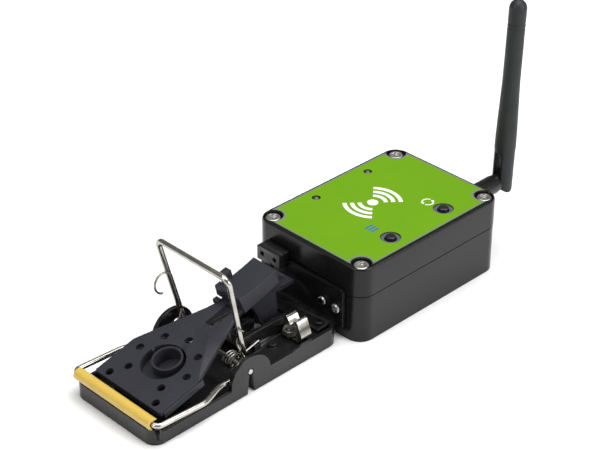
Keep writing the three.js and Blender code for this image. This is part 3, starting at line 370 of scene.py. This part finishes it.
# All in millimetres, as in the CAD source, apart from the angles.
WIRE = 1.15
EYE = 2.65
EYE_PITCH = 2.65
BAR_REACH = 47
HANDLE_REACH = 43.65
LEAN = math.radians(13)
LEG_INNER_Y = 19.95
LEG_OUTER_Y = 24
JOG_START = -75
JOG_END = -64.5
JOG_BEND = 12
HALF_START_Y = 0.5  # the two halves of the front bar start this far from the middle
CORNER_BEND = 2.2
HANDLE_BEND = 3.2
EYE_STEPS = 90
HANDLE_BEND_STEPS = 14
SPRING_WIRE = 0.45
SPRING_COIL = 3.45
SPRING_TURNS = 4
SPRING_INNER_Y = 10.7
SPRING_OUTER_Y = 15.3
SPRING_LEG = (-35.5, 10)
HOOK_RADIUS = 4.3
HOOK_START = 25.5
HOOK_SWEEP = 4.27
WRAP_FROM = 1.9
WRAP_SWEEP = -5.8
WRAP_PITCH = -12.5
WRAP_START = 8
COIL_STEPS = 40  # points in each turn of a coil
SPRING_END_STEPS = 48
ARM_RISE = 2.5  # where the arm leaves the coil's level
ARM_BEND = 2
ARM_BEND_STEPS = 8
HOOK_FOOT = 9
WRAP_FOOT = (5, -1.4)
WRAP_FOOT_OUT = 1.2
WIRE_CLEARANCE = 0.05  # between a spring's end and the handle's leg
HANDLE_RISE = math.sqrt(HANDLE_REACH**2 - EYE**2)
PIN_X = (PIN.x - BOX_FRONT) / MM
PIN_Z = PIN.z / MM


def strike_bar_half(side):
    """Half of the bar's centre line: front bar, leg with its jog, a turn round the pin, the handle."""
    bar_x = PIN_X - BAR_REACH
    leg_angle = math.asin(EYE / BAR_REACH)

    def leg_z(x):
        return PIN_Z - EYE / math.cos(leg_angle) + (PIN_X - x) * math.tan(leg_angle)

    start = -math.pi / 2 - leg_angle
    stop = 2 * math.pi + LEAN
    ramp = start + 2 * math.pi - LEAN
    eye = []
    for i in range(EYE_STEPS + 1):
        angle = start + (stop - start) * i / EYE_STEPS
        share = min(max((angle - LEAN) / ramp, 0), 1)
        eye.append(
            at(
                PIN_X + EYE * math.cos(angle),
                side * (LEG_INNER_Y - EYE_PITCH * share),
                PIN_Z + EYE * math.sin(angle),
            )
        )
    leg = smooth_route(
        [
            (at(bar_x, side * HALF_START_Y, leg_z(bar_x)), 0),
            (at(bar_x, side * LEG_OUTER_Y, leg_z(bar_x)), CORNER_BEND),
            (at(JOG_START, side * LEG_OUTER_Y, leg_z(JOG_START)), JOG_BEND),
            (at(JOG_END, side * LEG_INNER_Y, leg_z(JOG_END)), JOG_BEND),
            (eye[0], 0),
        ]
    )
    top = eye[-1] + Vector((-math.sin(LEAN), 0, math.cos(LEAN))) * HANDLE_RISE * MM
    top.y = TRAP_MIDDLE_Y + side * LEG_INNER_Y * MM
    middle = Vector((top.x, TRAP_MIDDLE_Y, top.z))
    handle = smooth_route([(eye[-1], 0), (top, HANDLE_BEND), (middle, 0)], HANDLE_BEND_STEPS)
    return leg + eye[1:] + handle[1:]


def build_strike_bar():
    points = strike_bar_half(-1) + list(reversed(strike_bar_half(1)))[1:]
    tube("strike_bar_wire", points, WIRE * MM, "hammer", "bright_wire", "strike_bar")


def leg_y(along):
    """How far out the handle's leg is at a height along it."""
    return LEG_INNER_Y - EYE_PITCH * (1 - along / HANDLE_RISE)


def spring_points(side, open_hook):
    """A spring's centre line: fixed leg, coil round the pin, arm up to the handle's leg, far end."""
    run = SPRING_LEG[0] - PIN_X
    drop = SPRING_LEG[1] - PIN_Z
    start = math.atan2(drop, run) - math.acos(SPRING_COIL / math.hypot(run, drop))
    sweep = math.pi + LEAN - SPRING_TURNS * 2 * math.pi - start
    count = COIL_STEPS * SPRING_TURNS
    points = [at(SPRING_LEG[0], side * SPRING_INNER_Y, SPRING_LEG[1])]
    for i in range(count + 1):
        t = i / count
        angle = start + sweep * t
        points.append(
            at(
                PIN_X + SPRING_COIL * math.cos(angle),
                side * (SPRING_INNER_Y + (SPRING_OUTER_Y - SPRING_INNER_Y) * t),
                PIN_Z + SPRING_COIL * math.sin(angle),
            )
        )

    def by_leg(along, behind, y):
        return at(
            PIN_X + behind * math.cos(LEAN) - along * math.sin(LEAN),
            side * y,
            PIN_Z + behind * math.sin(LEAN) + along * math.cos(LEAN),
        )

    clear = WIRE + SPRING_WIRE + WIRE_CLEARANCE
    end = []
    for i in range(SPRING_END_STEPS + 1):
        share = i / SPRING_END_STEPS
        if open_hook:
            angle = HOOK_SWEEP * share
            along = HOOK_START + HOOK_RADIUS * math.sin(angle)
            end.append(by_leg(along, EYE - HOOK_RADIUS * (1 - math.cos(angle)), leg_y(along) - clear))
        else:
            angle = WRAP_FROM + WRAP_SWEEP * share
            along = WRAP_START + WRAP_PITCH * WRAP_SWEEP * share / (2 * math.pi)
            end.append(by_leg(along, EYE - clear * math.sin(angle), leg_y(along) - clear * math.cos(angle)))
    if open_hook:
        foot = by_leg(HOOK_FOOT, EYE, leg_y(HOOK_FOOT) - clear)
    else:
        foot = by_leg(*WRAP_FOOT, SPRING_OUTER_Y + WRAP_FOOT_OUT)
    knee = by_leg(ARM_RISE, -SPRING_COIL, SPRING_OUTER_Y)
    arm = smooth_route(
        [(points[-1], 0), (knee, ARM_BEND), (foot, ARM_BEND), (end[0], 0)],
        ARM_BEND_STEPS,
    )
    return points + arm[1:] + end[1:]


def build_springs():
    """Each spring runs from its fixed leg on the base, round the pin, to its hooked end at the handle's leg."""
    for name, side, open_hook in (("spring_right", -1, False), ("spring_left", 1, True)):
        points = spring_points(side, open_hook)
        spring = tube(name + "_wire", points, SPRING_WIRE * MM, None, "spring_steel", name, sides=12)
        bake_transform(spring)


# ---------------------------------------------------------------- label print and painted rim sheen


def flat_ring(bm, centre, inner, outer, start, stop, low, high, steps=40):
    """Part of a flat ring, as a thin closed solid."""
    loops = []
    for i in range(steps + 1):
        angle = start + (stop - start) * i / steps
        direction = Vector((math.cos(angle), math.sin(angle), 0))
        loops.append(
            [
                bm.verts.new(centre + direction * inner + Vector((0, 0, low))),
                bm.verts.new(centre + direction * outer + Vector((0, 0, low))),
                bm.verts.new(centre + direction * outer + Vector((0, 0, high))),
                bm.verts.new(centre + direction * inner + Vector((0, 0, high))),
            ]
        )
    closed = abs(stop - start) > 2 * math.pi - 1e-6
    if closed:
        bmesh.ops.delete(bm, geom=loops.pop(), context="VERTS")
    pairs = list(zip(loops, loops[1:])) + ([(loops[-1], loops[0])] if closed else [])
    for a, b in pairs:
        for k in range(4):
            bm.faces.new((a[k], b[k], b[(k + 1) % 4], a[(k + 1) % 4]))
    if not closed:
        bm.faces.new(loops[0])
        bm.faces.new(reversed(loops[-1]))


def flat_polygon(bm, points, low, high):
    bottom = [bm.verts.new(p + Vector((0, 0, low))) for p in points]
    top = [bm.verts.new(p + Vector((0, 0, high))) for p in points]
    bm.faces.new(list(reversed(bottom)))
    bm.faces.new(top)
    for i in range(len(points)):
        j = (i + 1) % len(points)
        bm.faces.new((bottom[i], bottom[j], top[j], top[i]))


def mesh_of(bm, name):
    bmesh.ops.recalc_face_normals(bm, faces=bm.faces)
    mesh = bpy.data.meshes.new(name)
    bm.to_mesh(mesh)
    bm.free()
    return mesh


INK_LOW = 0.005 * MM
INK_HIGH = 0.03 * MM
RECESS_DEPTH = 0.7 * MM
RING_INNER = 2.6 * MM
RING_OUTER = 4.2 * MM
ICON_PLACE = (57.4, -13.5)
ICON_RADIUS = 2.3 * MM
ICON_HALF_LINE = 0.28 * MM
ICON_HALF_HEAD = 0.85 * MM
ICON_START = math.radians(14)
ICON_STOP = math.radians(150)
ICON_HEAD = math.radians(26)
EMBLEM_PLACE = (41, 2)
EMBLEM_DOT = 2.3  # mm
EMBLEM_STEP = 3.1  # mm
EMBLEM_HALF_LINE = 0.85 * MM
EMBLEM_HALF_ARC = math.radians(42)
MARK_X = (24, 28.4)
MARK_Y = -10.4
MARK_STEP = 1.7
MARK_HEIGHT = 0.9
# width of the painted sheen band that stands in for the lid's lit top rim
RIM_SHEEN_WIDTH = 0.75 * MM
UPWARD = 0.9  # faces whose normal rises more than this are the film's top
BUTTON_CENTRES = [(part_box(n)[0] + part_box(n)[1]) / 2 for n in ("button_1", "button_2")]


def on_label(x, y):
    place = at(x, y, 0)
    place.z = LABEL_TOP
    return place


def add_flat_layer(name, bm, ink_material):
    """Adds a thin flat layer that rides with the box: the label's print, and also the painted sheen band of the
    lid's lit top rim.
    """
    piece(name, mesh_of(bm, name), "base", "label_film", material=ink_material, smooth=False)


def build_reset_icon():
    """Two arrows chasing each other round a circle."""
    bm = bmesh.new()
    centre = on_label(*ICON_PLACE)
    inner = ICON_RADIUS - ICON_HALF_LINE
    outer = ICON_RADIUS + ICON_HALF_LINE
    for turn in (0, math.pi):
        stop = turn + ICON_STOP
        flat_ring(bm, centre, inner, outer, turn + ICON_START, stop, INK_LOW, INK_HIGH)
        tip = stop + ICON_HEAD
        spot = Vector((math.cos(stop), math.sin(stop), 0))
        ahead = Vector((math.cos(tip), math.sin(tip), 0))
        corners = [
            centre + spot * (ICON_RADIUS - ICON_HALF_HEAD),
            centre + spot * (ICON_RADIUS + ICON_HALF_HEAD),
            centre + ahead * ICON_RADIUS,
        ]
        flat_polygon(bm, corners, INK_LOW, INK_HIGH)
    add_flat_layer("reset_icon", bm, WHITE_INK)


def build_signal_emblem():
    """A plain radio-signal sign: a dot and three arcs on each side of it."""
    bm = bmesh.new()
    centre = on_label(*EMBLEM_PLACE)
    flat_ring(bm, centre, 0.0005 * MM, EMBLEM_DOT * MM, 0, 2 * math.pi, INK_LOW, INK_HIGH)
    for k in range(1, 4):
        middle = (EMBLEM_DOT + EMBLEM_STEP * k) * MM
        for turn in (0, math.pi):
            flat_ring(
                bm,
                centre,
                middle - EMBLEM_HALF_LINE,
                middle + EMBLEM_HALF_LINE,
                turn - EMBLEM_HALF_ARC,
                turn + EMBLEM_HALF_ARC,
                INK_LOW,
                INK_HIGH,
            )
    add_flat_layer("signal_emblem", bm, WHITE_INK)


def build_status_marks():
    """Three short blue bars beside the first button."""
    bm = bmesh.new()
    for row in range(3):
        left, right = MARK_X
        low = MARK_Y - MARK_STEP * row
        high = low + MARK_HEIGHT
        corners = [on_label(*spot) for spot in ((left, low), (right, low), (right, high), (left, high))]
        flat_polygon(bm, corners, INK_LOW, INK_HIGH)
    add_flat_layer("status_marks", bm, BLUE_INK)


def build_button_rings():
    """The grey print round each button, on the floor of its round recess."""
    for i, centre in enumerate(BUTTON_CENTRES):
        bm = bmesh.new()
        spot = Vector((centre.x, centre.y, LABEL_TOP - RECESS_DEPTH))
        flat_ring(bm, spot, RING_INNER, RING_OUTER, 0, 2 * math.pi, INK_LOW, INK_HIGH)
        add_flat_layer("button_ring_%d" % (i + 1), bm, RECESS_INK)


def build_painted_rim_sheen():
    """A thin grey band round the film, found by shrinking the film's own outline: painted sheen standing in for
    the lit top rim of the black lid, not print.
    """
    bm = bmesh.new()
    bm.from_mesh(NODES["label"].data)
    bmesh.ops.remove_doubles(bm, verts=bm.verts, dist=MERGE)
    bmesh.ops.delete(bm, geom=[f for f in bm.faces if f.normal.z < UPWARD], context="FACES")
    outer = max(bm.verts, key=lambda v: v.co.x)
    neighbours = {}
    for edge in [e for e in bm.edges if e.is_boundary]:
        a, b = edge.verts
        neighbours.setdefault(a, []).append(b)
        neighbours.setdefault(b, []).append(a)
    loop = [outer]
    previous, current = outer, neighbours[outer][0]
    while current != outer:
        loop.append(current)
        options = [v for v in neighbours[current] if v != previous]
        previous, current = current, options[0]
    outline = [v.co.copy() for v in loop]
    bm.free()
    area = sum(a.x * b.y - b.x * a.y for a, b in zip(outline, outline[1:] + outline[:1]))
    if area < 0:
        outline.reverse()
    inner = []
    for before, here, after in zip(outline[-1:] + outline[:-1], outline, outline[1:] + outline[:1]):
        one = (here - before).normalized()
        two = (after - here).normalized()
        normal = Vector((-one.y - two.y, one.x + two.x, 0)).normalized()
        stretch = max(normal.dot(Vector((-one.y, one.x, 0))), 0.5)
        inner.append(here + normal * (RIM_SHEEN_WIDTH / stretch))
    strip = bmesh.new()
    rows = [
        [
            strip.verts.new(Vector((o.x, o.y, LABEL_TOP + INK_LOW))),
            strip.verts.new(Vector((o.x, o.y, LABEL_TOP + INK_HIGH))),
            strip.verts.new(Vector((i.x, i.y, LABEL_TOP + INK_HIGH))),
            strip.verts.new(Vector((i.x, i.y, LABEL_TOP + INK_LOW))),
        ]
        for o, i in zip(outline, inner)
    ]
    for a, b in zip(rows, rows[1:] + rows[:1]):
        for k in range(4):
            strip.faces.new((a[k], b[k], b[(k + 1) % 4], a[(k + 1) % 4]))
    # the grey band is painted sheen of the lid's lit top rim, laid on the film
    add_flat_layer("painted_rim_sheen_band", strip, RIM_SHEEN_PAINT)


# ---------------------------------------------------------------- rounded edges

EDGE_WIDTHS = {
    "trap_base": 0.35,
    "treadle": 0.22,
    "bar_sleeve": 0.25,
    "spring_clip": 0.1,
    "clip_nut": 0.2,
    "clip_screw": 0.15,
    "mounting_bracket": 0.2,
    "switch_case": 0.2,
    "switch_plunger": 0.12,
    "box_base": 0.4,
    "box_lid": 0.35,
    "label": 0.04,
    "button_1": 0.25,
    "button_2": 0.25,
    "led_1": 0.15,
    "led_2": 0.15,
    "antenna_nut": 0.2,
    "antenna_knuckle": 0.35,
    "antenna_whip": 0.4,
    "antenna_pin": 0.1,
    "pivot_pin": 0.2,
}
for i in range(1, 5):
    EDGE_WIDTHS["lid_screw_%d" % i] = 0.15
    EDGE_WIDTHS["bracket_screw_%d" % i] = 0.12
for i in range(1, 3):
    EDGE_WIDTHS["deck_screw_%d" % i] = 0.12

for node, width in EDGE_WIDTHS.items():
    build_rounded(node, width)
build_strike_bar()
build_springs()
build_painted_rim_sheen()
build_reset_icon()
build_signal_emblem()
build_status_marks()
build_button_rings()

# ---------------------------------------------------------------- floor, light and camera


def build_floor():
    bm = bmesh.new()
    bmesh.ops.create_grid(bm, x_segments=2, y_segments=2, size=6)
    mesh = mesh_of(bm, "floor")
    floor = bpy.data.objects.new("floor", mesh)
    bpy.context.scene.collection.objects.link(floor)
    floor.location = (0, 0, -0.1 * MM)
    m = Shader("floor_paper")
    m.set(color=(0.86, 0.86, 0.86), roughness=0.75, specular=0.2)
    m.vary("Base Color", m.noise(6, 3), [(0.3, (0.85, 0.85, 0.85)), (0.7, (0.87, 0.87, 0.87))])
    mesh.materials.append(m.material)


def area_light(name, place, target, size, power):
    light = bpy.data.lights.new(name, "AREA")
    light.shape = "RECTANGLE"
    light.size, light.size_y = size
    light.energy = power
    lamp = bpy.data.objects.new(name, light)
    bpy.context.scene.collection.objects.link(lamp)
    lamp.location = place
    lamp.rotation_euler = (Vector(target) - Vector(place)).to_track_quat("-Z", "Y").to_euler()


def build_light():
    world = bpy.data.worlds.new("studio")
    bpy.context.scene.world = world
    world.use_nodes = True
    backdrop = world.node_tree.nodes["Background"]
    backdrop.inputs["Color"].default_value = (1, 1, 1, 1)
    backdrop.inputs["Strength"].default_value = 0.2
    area_light("top", (0.15, -0.1, 1.3), (0, 0, 0), (1.3, 1.3), 24.0)
    area_light("side", (0.35, -1.1, 0.5), (0, 0, 0.02), (0.9, 0.5), 9.0)
    area_light("front", (-1.0, 0.1, 0.7), (0, 0, 0.02), (0.5, 0.5), 4.0)


def build_camera():
    """44.4 degrees round from the near side towards the strike bar's end, and 31.8 degrees up."""
    camera = bpy.data.cameras.new("camera")
    camera.lens = 105.24
    camera.sensor_width = 36
    camera.clip_start = 0.01
    camera.clip_end = 20
    holder = bpy.data.objects.new("camera", camera)
    bpy.context.scene.collection.objects.link(holder)
    place = at(-410.87, -416.77, 405.87)
    target = at(23.07, 26.26, 20.75)
    holder.location = place
    holder.rotation_euler = (target - place).to_track_quat("-Z", "Y").to_euler()
    bpy.context.scene.camera = holder


build_floor()
build_light()
build_camera()
bpy.context.scene.view_settings.view_transform = "Standard"
